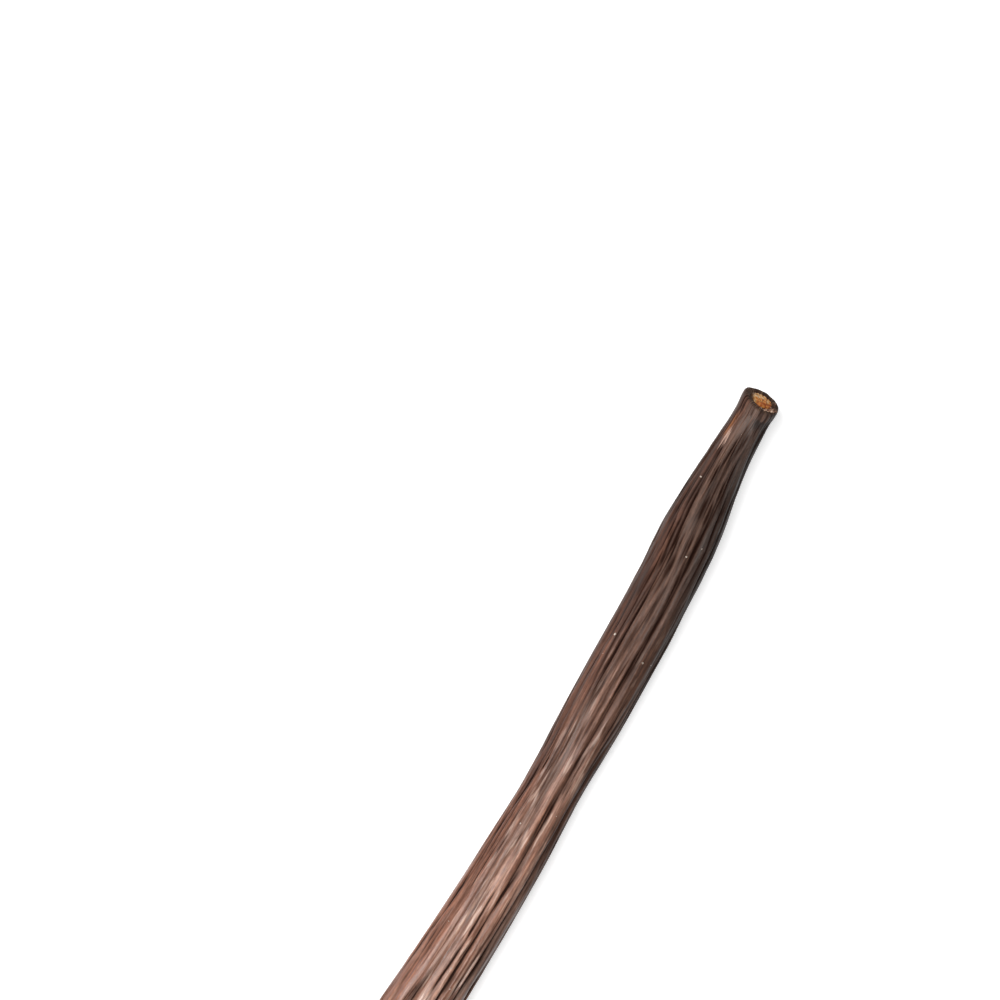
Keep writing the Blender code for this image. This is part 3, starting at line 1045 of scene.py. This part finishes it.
# The cut edge of the skin dried dark and mottled, with a few paler strands in it.
rim_tones = add(tree, "ValToRGB", feeds={"Fac": fibre_streak})
set_stops(rim_tones, ((0.38, 0x2B1B14), (0.52, 0x3F2A20), (0.62, 0x6E5643), (0.72, 0x93795F)))
on_rim = add(tree, "MapRange", feeds={"Value": folded_in, "From Max": 0.3, "To Max": 0.85})
skin_colour = add(tree, "Mix", COLOURS, {"Factor": on_rim, "A": fold_shaded, "B": rim_tones})
rough = add(tree, "MapRange", feeds={"Value": to_belly, "To Min": 0.44, "To Max": 0.27})
rough = add(tree, "Math", "MULTIPLY_ADD", {0: fibre_streak, 1: 0.16, 2: rough})
dull = add(tree, "Math", "MAXIMUM", {0: depth, 1: on_rim})
rough = add(tree, "Math", {"operation": "MULTIPLY_ADD", "use_clamp": True}, {0: dull, 1: 0.30, 2: rough})
rough = add(
    tree, "Math", {"operation": "MULTIPLY_ADD", "use_clamp": True}, {0: scuffs_and_glints, 1: -0.10, 2: rough}
)
shine = add(tree, "MapRange", feeds={"Value": dull, "To Min": 0.62, "To Max": 0.10})
shine = add(tree, "Math", "MULTIPLY", {0: shine, 1: painted_flank_shade})
# Fibres finer than the mesh, about a fifth of a millimetre apart, as bump, and slow waves along them that
# break the shine on each rib into short glints.
wavy = streaky_noise(tree, skin_place, 2.6 * MM, MM / 0.9)
uneven = add(tree, "Math", "MULTIPLY_ADD", {0: wavy, 1: 2.2, 2: fibre_streak})
bump = add(tree, "Bump", feeds={"Strength": 0.6, "Distance": 0.06 * MM, "Height": uneven})
feeds = {"Base Color": skin_colour, "Roughness": rough, "Specular IOR Level": shine, "Normal": bump}
fill(tree, shader, feeds)
shader.inputs["IOR"].default_value = 1.45
print("cured skin has", len(tree.nodes), "nodes")

# %% Make the skin
COLUMNS = 336
skin = run_tree(
    "pod_skin",
    skin_tree,
    stations=station_guide,
    main_furrows=furrow_guide,
    rows=len(stations),
    columns=COLUMNS,
    furrow_depth=0.42 * MM,
    wrinkle_depth=0.17 * MM,
    pleat_depth=0.17 * MM,
    crease_depth=0.11 * MM,
    fibre_depth=0.05 * MM,
    material=cured_skin,
)


def face_outwards(piece):
    """Turns every face of a closed mesh outwards."""
    shape = bmesh.new()
    shape.from_mesh(piece.data)
    bmesh.ops.recalc_face_normals(shape, faces=shape.faces)
    open_edges = sum(not edge.is_manifold for edge in shape.edges)
    print(piece.name, "open edges", open_edges, "volume", round(1e6 * shape.calc_volume(), 2), "cm3")
    shape.to_mesh(piece.data)
    shape.free()


face_outwards(skin)

# %% [markdown]
# ## The cut flesh
#
# The knife went through the stem aslant, and left an oval of dry flesh inside the dark rim: cream and orange
# pith, cracked as it dried, with the ends of fibres standing a little proud. A flat painted disc would look
# dead from any side, so it is a plug with real relief. The tree rolls a grid up into a disc, as it did with
# the skin: one way across the grid runs from the middle out to the edge, down the wall and back under, the
# other way runs round. Voronoi noise gives both the cracks and the fibre ends. The same tree, smaller, makes
# the dry stub in the scar at the other end.

# %% Tree: plug, the disc
plug_tree, given, result = new_shape_tree(
    "dry_plug",
    {
        "Across": ("Float", 2 * MM),
        "Above": ("Float", 2 * MM),
        "Bulge": ("Float", 0.1 * MM),
        "Wall": ("Float", 0.5 * MM),
        "Relief": ("Float", 0.1 * MM),
        "Slope across": ("Float", 0.0),
        "Slope above": ("Float", 0.0),
        "Material": ("Material", None),
    },
    {"Plug": "Geometry"},
)
PLUG_RINGS, PLUG_COLUMNS = 56, 144
TOP_SHARE = 0.86
plug_grid = add(
    plug_tree,
    "MeshGrid",
    feeds={"Size X": 1, "Size Y": 1, "Vertices X": PLUG_RINGS, "Vertices Y": PLUG_COLUMNS},
)
on_grid = add(plug_tree, "SeparateXYZ", feeds={0: add(plug_tree, "InputPosition")})
outwards = add(plug_tree, "Math", "ADD", {0: on_grid.outputs["X"], 1: 0.5})
on_top = add(plug_tree, "MapRange", feeds={"Value": outwards, "From Max": TOP_SHARE})
under = add(plug_tree, "MapRange", feeds={"Value": outwards, "From Min": 1, "From Max": TOP_SHARE + 0.04})
radius = add(plug_tree, "Math", "MINIMUM", {0: on_top, 1: under})
turn = add(plug_tree, "Math", "MULTIPLY", {0: on_grid.outputs["Y"], 1: 2 * math.pi})
flat_place = []
for wave in ("SINE", "COSINE"):
    wave = add(plug_tree, "Math", wave, {0: turn})
    flat_place.append(add(plug_tree, "Math", "MULTIPLY", {0: wave, 1: radius}))
face_place = add(plug_tree, "CombineXYZ", feeds={"X": flat_place[0], "Y": flat_place[1]})
real_size = add(plug_tree, "CombineXYZ", feeds={"X": given["Across"], "Y": given["Above"], "Z": 1})
on_face = add(plug_tree, "VectorMath", "MULTIPLY", {0: face_place, 1: real_size})
print("dry_plug has", len(plug_tree.nodes), "nodes so far")

# %% Tree: plug, its relief
EDGE_WAVER, EDGE_WAVER_LENGTH = 0.34 * MM, 0.9 * MM
CRACK_SPACING, CRACK_WIDTH = 1.15 * MM, 0.10
GRAIN = 0.24 * MM


def pattern(kind, spacing, settings=None, **feeds):
    """A noise or Voronoi pattern on the plug's face, with a spacing in real size."""
    scaled = add(plug_tree, "VectorMath", "SCALE", {0: bent_face, "Scale": 1 / spacing})
    return add(plug_tree, kind, settings, {"Vector": scaled, "Scale": 1, **feeds})


bent_face = on_face
waver = pattern("TexNoise", EDGE_WAVER_LENGTH, Detail=3).outputs["Color"]
waver = add(plug_tree, "VectorMath", "SUBTRACT", {0: waver, 1: (0.5, 0.5, 0.5)})
waver = add(plug_tree, "VectorMath", "MULTIPLY", {0: waver, 1: (EDGE_WAVER, EDGE_WAVER, 0)})
bent_face = add(plug_tree, "VectorMath", "ADD", {0: on_face, 1: waver})
to_crack = pattern("TexVoronoi", CRACK_SPACING, {"feature": "DISTANCE_TO_EDGE"})
crack = add(
    plug_tree,
    "MapRange",
    feeds={"Value": to_crack.outputs["Distance"], "From Max": CRACK_WIDTH, "To Min": 1, "To Max": 0},
)
to_fibre = pattern("TexVoronoi", GRAIN, Randomness=0.8)
fibre_end = add(
    plug_tree,
    "MapRange",
    SMOOTH,
    {"Value": to_fibre.outputs["Distance"], "From Max": 0.7, "To Min": 1, "To Max": 0},
)
lumps = add(plug_tree, "Math", "SUBTRACT", {0: pattern("TexNoise", 0.7 * MM, Detail=4), 1: 0.5})
relief = 0.0
for shape, share in ((crack, -1.0), (fibre_end, 0.45), (lumps, 1.8)):
    relief = add(plug_tree, "Math", "MULTIPLY_ADD", {0: shape, 1: share, 2: relief})
relief = add(plug_tree, "Math", "MULTIPLY", {0: relief, 1: given["Relief"]})
fall = add(plug_tree, "Math", "POWER", {0: on_top, 1: 4})
crown = add(plug_tree, "Math", "SUBTRACT", {0: 0.6, 1: fall})
height_up = add(plug_tree, "Math", "MULTIPLY_ADD", {0: crown, 1: given["Bulge"], 2: relief})
is_under = add(plug_tree, "Math", "GREATER_THAN", {0: outwards, 1: TOP_SHARE + 0.01})
wall_down = add(plug_tree, "Math", "MULTIPLY", {0: given["Wall"], 1: -1})
rise = add(plug_tree, "Mix", {"data_type": "FLOAT"}, {"Factor": is_under, "A": height_up, "B": wall_down})
flat = add(plug_tree, "SeparateXYZ", feeds={0: bent_face})
for axis, slope in (("X", "Slope across"), ("Y", "Slope above")):
    down = add(plug_tree, "Math", "MULTIPLY", {0: flat.outputs[axis], 1: given[slope]})
    rise = add(plug_tree, "Math", "SUBTRACT", {0: rise, 1: down})
place = add(plug_tree, "CombineXYZ", feeds={"X": flat.outputs["X"], "Y": flat.outputs["Y"], "Z": rise})
fields = {"face_place": face_place, "to_edge": on_top, "crack": crack, "fibre_end": fibre_end}
fields["new_place"] = place
mesh_so_far = store(plug_tree, plug_grid.outputs["Mesh"], fields)
finish_tree(plug_tree, mesh_so_far, given["Material"], result.inputs["Plug"])

# %% [markdown]
# ## Dry cut flesh
#
# Pith is a soft, spongy plant tissue. Cut, and dried without being pressed or polished, it is quite matt. It
# is palest where the knife left it clean and dust has settled, orange in the middle where the juice soaked
# in, and red-brown down in the cracks. Towards the rim it darkens into the skin.

# %% Material: dry cut flesh
dry_flesh, tree, shader = new_finish("knife_cut_dry_pith")
face_place = add(tree, "Attribute", {"attribute_name": "face_place"}).outputs["Vector"]
to_edge, crack, fibre_end = [
    add(tree, "Attribute", {"attribute_name": name}).outputs["Fac"]
    for name in ("to_edge", "crack", "fibre_end")
]
blotch = add(tree, "TexNoise", feeds={"Vector": face_place, "Scale": 2.6, "Detail": 4})
# Palest on the half of the cut that is turned towards +Y and down.
across_face = add(tree, "VectorMath", "DOT_PRODUCT", {0: face_place, 1: (-0.16, -0.12, 0)})
pale = add(tree, "Math", "ADD", {0: blotch, 1: across_face.outputs["Value"]})
flesh_tones = add(tree, "ValToRGB", feeds={"Fac": pale})
set_stops(flesh_tones, ((0.32, 0xBC6226), (0.42, 0xE8964A), (0.54, 0xF2B570), (0.66, 0xF8DCB4)))
fibre_glow = add(tree, "MapRange", feeds={"Value": fibre_end, "To Min": 0.72, "To Max": 1.12})
tone = add(tree, "VectorMath", "SCALE", {0: flesh_tones.outputs["Color"], "Scale": fibre_glow})
darker = add(tree, "Math", "MULTIPLY", {0: crack, 1: 0.65})
tone = add(tree, "Mix", COLOURS, {"Factor": darker, "A": tone, "B": linear(0x6A2F10)})
near_rim = add(tree, "Math", "ADD", {0: to_edge, 1: across_face.outputs["Value"]})
near_rim = add(
    tree, "MapRange", feeds={"Value": near_rim, "From Min": 0.86, "From Max": 1.06, "To Max": 0.85}
)
tone = add(tree, "Mix", COLOURS, {"Factor": near_rim, "A": tone, "B": linear(0x3C2114)})
fill(tree, shader, {"Base Color": tone, "Roughness": 0.78, "IOR": 1.42})
print("dry flesh has", len(tree.nodes), "nodes")

# %% Make the cut flesh
FLESH_WIDTH, FLESH_THICKNESS = 3.5 * MM, 2.9 * MM
# The pith isn't in the middle of the stem. It lies lower, and stands up as high as the rim.
FLESH_DROP = 0.75 * MM
FLESH_SHIFT = Vector((-0.2 * MM, -FLESH_DROP, FLESH_DROP * math.tan(CUT_TILT) + 0.06 * MM))


def put_at_end(piece, along, outward, shift=Vector()):
    """Moves a piece from (across, above, outwards) to an end of the pod: -1 is the cut, and 1 is the tip."""
    centre, inward, side, upward = spine_frame(along)
    turned = Matrix((side, upward, outward * inward)).transposed().to_4x4()
    piece.data.transform(Matrix.Translation(centre) @ turned @ Matrix.Translation(shift))
    face_outwards(piece)


flesh = run_tree(
    "cut_flesh",
    plug_tree,
    across=FLESH_WIDTH / 2,
    above=FLESH_THICKNESS / 2,
    bulge=0.14 * MM,
    wall=0.85 * MM,
    relief=0.11 * MM,
    slope_across=math.tan(CUT_TURN),
    slope_above=math.tan(CUT_TILT),
    material=dry_flesh,
)
put_at_end(flesh, 0.0, -1, FLESH_SHIFT)

# %% [markdown]
# ## The blossom scar
#
# At the thin end the flower fell off and left a small pit with a dry stub in it, as dark as burnt wood.

# %% Material and piece: blossom stub
STUB_INSET = 0.54 * MM
dry_stub, tree, shader = new_finish("withered_blossom_stub")
crack = add(tree, "Attribute", {"attribute_name": "crack"}).outputs["Fac"]
face_place = add(tree, "Attribute", {"attribute_name": "face_place"}).outputs["Vector"]
blotch = add(tree, "TexNoise", feeds={"Vector": face_place, "Scale": 3.4, "Detail": 4})
stub_tones = add(tree, "ValToRGB", feeds={"Fac": blotch})
set_stops(stub_tones, ((0.35, 0x2A1A12), (0.52, 0x4E3423), (0.68, 0x7B5A3F)))
tone = add(tree, "Mix", COLOURS, {"Factor": crack, "A": stub_tones, "B": linear(0x1A0F0A)})
fill(tree, shader, {"Base Color": tone, "Roughness": 0.85})
stub = run_tree(
    "blossom_stub",
    plug_tree,
    across=half_width(POD_LENGTH) - STUB_INSET,
    above=half_thickness(POD_LENGTH) - STUB_INSET,
    bulge=0.20 * MM,
    wall=0.35 * MM,
    relief=0.12 * MM,
    material=dry_stub,
)
put_at_end(stub, POD_LENGTH, 1)

# %% [markdown]
# ## Torn fibres at the rim
#
# The knife didn't cut the last strands at the lower edge of the stem: they tore, dried and curled. They are
# small tapered slivers, mostly in one bunch, with a few round the rest of the rim. The tree scatters points
# along the rim's oval. Their angles are a random number cubed, which crowds them round one angle. A sliver
# stands on each, leaning at random, and noise bends them all once they are real.

# %% Tree: torn fibres
torn_tree, given, result = new_shape_tree(
    "torn_fibres",
    {
        "Count": ("Int", 30),
        "Across": ("Float", 2 * MM),
        "Above": ("Float", 2 * MM),
        "Shortest": ("Float", 0.3 * MM),
        "Longest": ("Float", 0.9 * MM),
        "Thickness": ("Float", 0.09 * MM),
        "Middle": ("Float", 1.0),
        "Spread": ("Float", 3.0),
        "Slope across": ("Float", 0.0),
        "Slope above": ("Float", 0.0),
        "Seed": ("Int", 1),
        "Material": ("Material", None),
    },
    {"Fibres": "Geometry"},
)


def chance(low, high, extra_seed, kind="FLOAT"):
    """A random value for each point, with a seed of its own."""
    seed = add(torn_tree, "Math", "ADD", {0: given["Seed"], 1: extra_seed})
    return add(torn_tree, "RandomValue", {"data_type": kind}, {"Min": low, "Max": high, "Seed": seed})


crowded = add(torn_tree, "Math", "POWER", {0: chance(-1.0, 1.0, 1), 1: 3})
turn = add(torn_tree, "Math", "MULTIPLY_ADD", {0: crowded, 1: given["Spread"], 2: given["Middle"]})
place = []
for wave, half in (("SINE", "Across"), ("COSINE", "Above")):
    wave = add(torn_tree, "Math", wave, {0: turn})
    radius = add(torn_tree, "Math", "ADD", {0: given[half], 1: chance(-0.3 * MM, 0.22 * MM, 2)})
    place.append(add(torn_tree, "Math", "MULTIPLY", {0: wave, 1: radius}))
rise = chance(-0.12 * MM, 0.02 * MM, 3)
for flat, slope in zip(place, ("Slope across", "Slope above")):
    down = add(torn_tree, "Math", "MULTIPLY", {0: flat, 1: given[slope]})
    rise = add(torn_tree, "Math", "SUBTRACT", {0: rise, 1: down})
at = add(torn_tree, "CombineXYZ", feeds={"X": place[0], "Y": place[1], "Z": rise})
roots = add(torn_tree, "Points", feeds={"Count": given["Count"], "Position": at})
sliver = add(
    torn_tree,
    "MeshCone",
    feeds={"Vertices": 6, "Side Segments": 5, "Radius Top": 0.25, "Radius Bottom": 1.0, "Depth": 1.0},
)
lean = chance((-0.9, -0.9, 0.5), (0.9, 0.9, 1.0), 4, "FLOAT_VECTOR")
facing = add(torn_tree, "AlignRotationToVector", {"axis": "Z"}, {"Vector": lean})
flat_width = add(torn_tree, "Math", "MULTIPLY", {0: given["Thickness"], 1: chance(0.5, 1.9, 5)})
length = add(
    torn_tree,
    "RandomValue",
    {"data_type": "FLOAT"},
    {"Min": given["Shortest"], "Max": given["Longest"], "Seed": given["Seed"]},
)
size = add(torn_tree, "CombineXYZ", feeds={"X": flat_width, "Y": given["Thickness"], "Z": length})
stood = add(
    torn_tree,
    "InstanceOnPoints",
    feeds={"Points": roots, "Instance": sliver.outputs["Mesh"], "Rotation": facing, "Scale": size},
)
real = add(torn_tree, "RealizeInstances", feeds={"Geometry": stood})
curled = crumple(torn_tree, real, 0.5 * MM, 0.5 * MM, 1)
flat_shaded = add(torn_tree, "SetMaterial", feeds={"Geometry": curled, "Material": given["Material"]})
torn_tree.links.new(flat_shaded.outputs[0], result.inputs["Fibres"])
print("torn_fibres has", len(torn_tree.nodes), "nodes")

# %% [markdown]
# ## Dry torn fibre
#
# Bast fibre: tough plant strands that dry to a pale pinkish straw, with a faint silky shine.

# %% Material and piece: torn fibres
RIM_INSET = 0.85 * MM
torn_strand, tree, shader = new_finish("dried_torn_bast")
spot = add(tree, "TexCoord").outputs["Object"]
spot = add(tree, "VectorMath", "SCALE", {0: spot, "Scale": 1 / (0.6 * MM)})
shade = add(tree, "TexNoise", feeds={"Vector": spot, "Scale": 1, "Detail": 2})
strand_tones = add(tree, "ValToRGB", feeds={"Fac": shade})
set_stops(strand_tones, ((0.34, 0x5A3A2C), (0.5, 0xA87C62), (0.66, 0xD9BBA4)))
fill(tree, shader, {"Base Color": strand_tones, "Roughness": 0.6})
torn = run_tree(
    "torn_fibres",
    torn_tree,
    count=56,
    across=half_width(0) - RIM_INSET,
    above=half_thickness(0) - RIM_INSET,
    shortest=0.25 * MM,
    longest=0.80 * MM,
    thickness=0.11 * MM,
    middle=62 * DEGREE,
    spread=75 * DEGREE,
    slope_across=math.tan(CUT_TURN),
    slope_above=math.tan(CUT_TILT),
    seed=3,
    material=torn_strand,
)
put_at_end(torn, 0.0, -1)

# %% [markdown]
# ## Vanillin crystals and dust
#
# As a good pod ages, vanillin sweats out and dries on the skin as tiny pale grains, and a little dust sticks
# to the oil. There are only a few, a tenth to a third of a millimetre across. Six larger ones are placed one
# by one, and the rest by two steps that never come round to the same place. Each sits on the real skin:
# Python looks up the skin's nearest point, and the tree puts a small crooked grain there, pressed flat
# against it.

# %% Where the grains sit
GRAINS = (
    (14.5, -38, 0.16), (42, -42, 0.17), (44, 36, 0.20), (73, -20, 0.13), (27, 14, 0.12), (98, 30, 0.14)
)
SCATTERED_GRAINS = 34
STEP_ALONG, STEP_ROUND, STEP_IN_SIZE = 0.569840, 271.756 * DEGREE, 0.618034
grains = [(along * MM, angle * DEGREE, size * MM) for along, angle, size in GRAINS]
for number in range(SCATTERED_GRAINS):
    along = (6 + (number * STEP_ALONG % 1) * 160) * MM
    size = (0.04 + 0.05 * (number * STEP_IN_SIZE % 1)) * MM
    grains.append((along, number * STEP_ROUND, size))
places = []
facings = []
for along, angle, size in grains:
    centre, inward, side, upward = spine_frame(along)
    out = side * math.sin(angle) + upward * math.cos(angle)
    _, place, facing, _ = skin.closest_point_on_mesh(centre + out * (half_width(along) + MM))
    places.append(place)
    facings.append(facing)
grain_guide = guide_object("grain_places", places, [])
add_attribute(grain_guide.data, "facing", "FLOAT_VECTOR", facings)
add_attribute(grain_guide.data, "size", "FLOAT", [size for *_, size in grains])
print(len(places), "grains")

# %% Tree: grains
grain_tree, given, result = new_shape_tree(
    "skin_grains", {"Places": ("Object", None), "Material": ("Material", None)}, {"Grains": "Geometry"}
)
on_skin = add(grain_tree, "ObjectInfo", feeds={"Object": given["Places"]}).outputs["Geometry"]
facing = add(
    grain_tree,
    "AlignRotationToVector",
    {"axis": "Z"},
    {"Vector": add(grain_tree, "InputNamedAttribute", {"data_type": "FLOAT_VECTOR"}, {"Name": "facing"})},
)
size = add(grain_tree, "InputNamedAttribute", {"data_type": "FLOAT"}, {"Name": "size"})
uneven = add(
    grain_tree,
    "RandomValue",
    {"data_type": "FLOAT_VECTOR"},
    {"Min": (0.7, 0.7, 0.4), "Max": (1.3, 1.3, 0.7), "Seed": 5},
)
size = add(grain_tree, "VectorMath", "SCALE", {0: uneven, "Scale": size})
grain = add(grain_tree, "MeshIcoSphere", feeds={"Radius": 1, "Subdivisions": 2})
laid = add(
    grain_tree,
    "InstanceOnPoints",
    feeds={"Points": on_skin, "Instance": grain.outputs["Mesh"], "Rotation": facing, "Scale": size},
)
real = add(grain_tree, "RealizeInstances", feeds={"Geometry": laid})
real = crumple(grain_tree, real, 0.12 * MM, 0.10 * MM)
painted = add(grain_tree, "SetMaterial", feeds={"Geometry": real, "Material": given["Material"]})
grain_tree.links.new(painted.outputs[0], result.inputs["Grains"])
print("skin_grains has", len(grain_tree.nodes), "nodes")

# %% Material and piece: grains
frost, tree, shader = new_finish("crystallised_vanillin")
spot = add(tree, "TexCoord").outputs["Object"]
spot = add(tree, "VectorMath", "SCALE", {0: spot, "Scale": 1 / (0.15 * MM)})
cloud = add(tree, "TexNoise", feeds={"Vector": spot, "Scale": 1, "Detail": 2})
frost_tones = add(tree, "ValToRGB", feeds={"Fac": cloud})
set_stops(frost_tones, ((0.35, 0x8C7A6C), (0.55, 0xC4B6A8), (0.7, 0xE2D9CF)))
fill(tree, shader, {"Base Color": frost_tones, "Roughness": 0.4})
specks = run_tree("vanillin_grains", grain_tree, places=grain_guide, material=frost)
face_outwards(specks)

# %% [markdown]
# ## Settling the pieces on the frame
#
# Everything so far was made with the cut at the origin. The frame's box tells where the pod really lies, so
# each finished piece is moved by the step that brings the skin's middle over the frame's middle.

# %% Settle
pieces = [skin, flesh, stub, torn, specks]
skin_low = Vector(min(corner.co[axis] for corner in skin.data.vertices) for axis in range(3))
skin_high = Vector(max(corner.co[axis] for corner in skin.data.vertices) for axis in range(3))
settle_step = cad_middle - (skin_low + skin_high) / 2
settle_step.z = 0
for piece in pieces:
    piece.data.transform(Matrix.Translation(settle_step))
print("settled by", [round(1000 * step, 2) for step in settle_step], "mm")

# %% [markdown]
# ## Floor
#
# A plain white board. To the camera it is a little brighter than it is lit, so that it reads as white, while
# the pod's soft shadow still darkens it. Light that bounces off it keeps the board's own plain white.

# %% Floor
BOARD_GLOW = 0.5
board_white, tree, shader = new_finish("matt_white_board")
fill(tree, shader, {"Base Color": linear(0xE8E8E8), "Roughness": 0.9})
rays = add(tree, "LightPath")
seen = 0.0
for ray in ("Is Camera Ray", "Is Glossy Ray", "Is Transmission Ray"):
    seen = add(tree, "Math", "MAXIMUM", {0: seen, 1: rays.outputs[ray]})
strength = add(tree, "Math", "MULTIPLY", {0: seen, 1: BOARD_GLOW})
glow = add(tree, "Emission", feeds={"Color": (1, 1, 1, 1), "Strength": strength})
both = add(tree, "AddShader", feeds={0: shader.outputs["BSDF"], 1: glow})
tree.links.new(both.outputs[0], tree.nodes["Material Output"].inputs["Surface"])

bpy.ops.mesh.primitive_plane_add(size=6)
floor = bpy.context.object
floor.name = "floor"
floor.data.materials.append(board_white)
print("floor is", round(floor.dimensions.x), "m wide")

# %% [markdown]
# ## Light
#
# Soft daylight from a large window at the camera's left, a weak fill from the right, and a pale world. A long
# narrow soft box stands nearly overhead, along the pod, and draws the sheen out along the crowns of its ribs.

# %% Light
ROOM_LIGHT = 0.17
world = bpy.data.worlds.new("pale_room")
bpy.context.scene.world = world
world.use_nodes = True
fill(world.node_tree, world.node_tree.nodes["Background"], {"Color": (1, 1, 1, 1), "Strength": ROOM_LIGHT})


def soft_light(name, turn, rise, distance, size, power):
    """A soft box (wide, high) that looks at the pod, placed by the same kind of angles as the camera."""
    light = bpy.data.objects.new(name, bpy.data.lights.new(name, "AREA"))
    bpy.context.scene.collection.objects.link(light)
    light.data.shape = "RECTANGLE"
    light.data.size, light.data.size_y = size
    light.data.energy = power
    light.location = distance * back_direction(turn, rise)
    light.rotation_euler = (-light.location).to_track_quat("-Z", "Y").to_euler()
    return light


soft_light("window", VIEW_TURN - 52 * DEGREE, 48 * DEGREE, 0.6, (0.3, 0.3), 2.2)
soft_light("strip", VIEW_TURN - 132 * DEGREE, 78 * DEGREE, 0.52, (0.06, 0.5), 2.0)
soft_light("fill", VIEW_TURN + 100 * DEGREE, 60 * DEGREE, 1.0, (0.9, 0.9), 0.5)
print(len(bpy.data.lights), "soft lights")

# %% Finish
for guide in guides:
    bpy.data.objects.remove(guide)
for piece in pieces:
    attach(piece, "root")
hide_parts("vanilla_pod")
bpy.context.scene.view_settings.view_transform = "Standard"
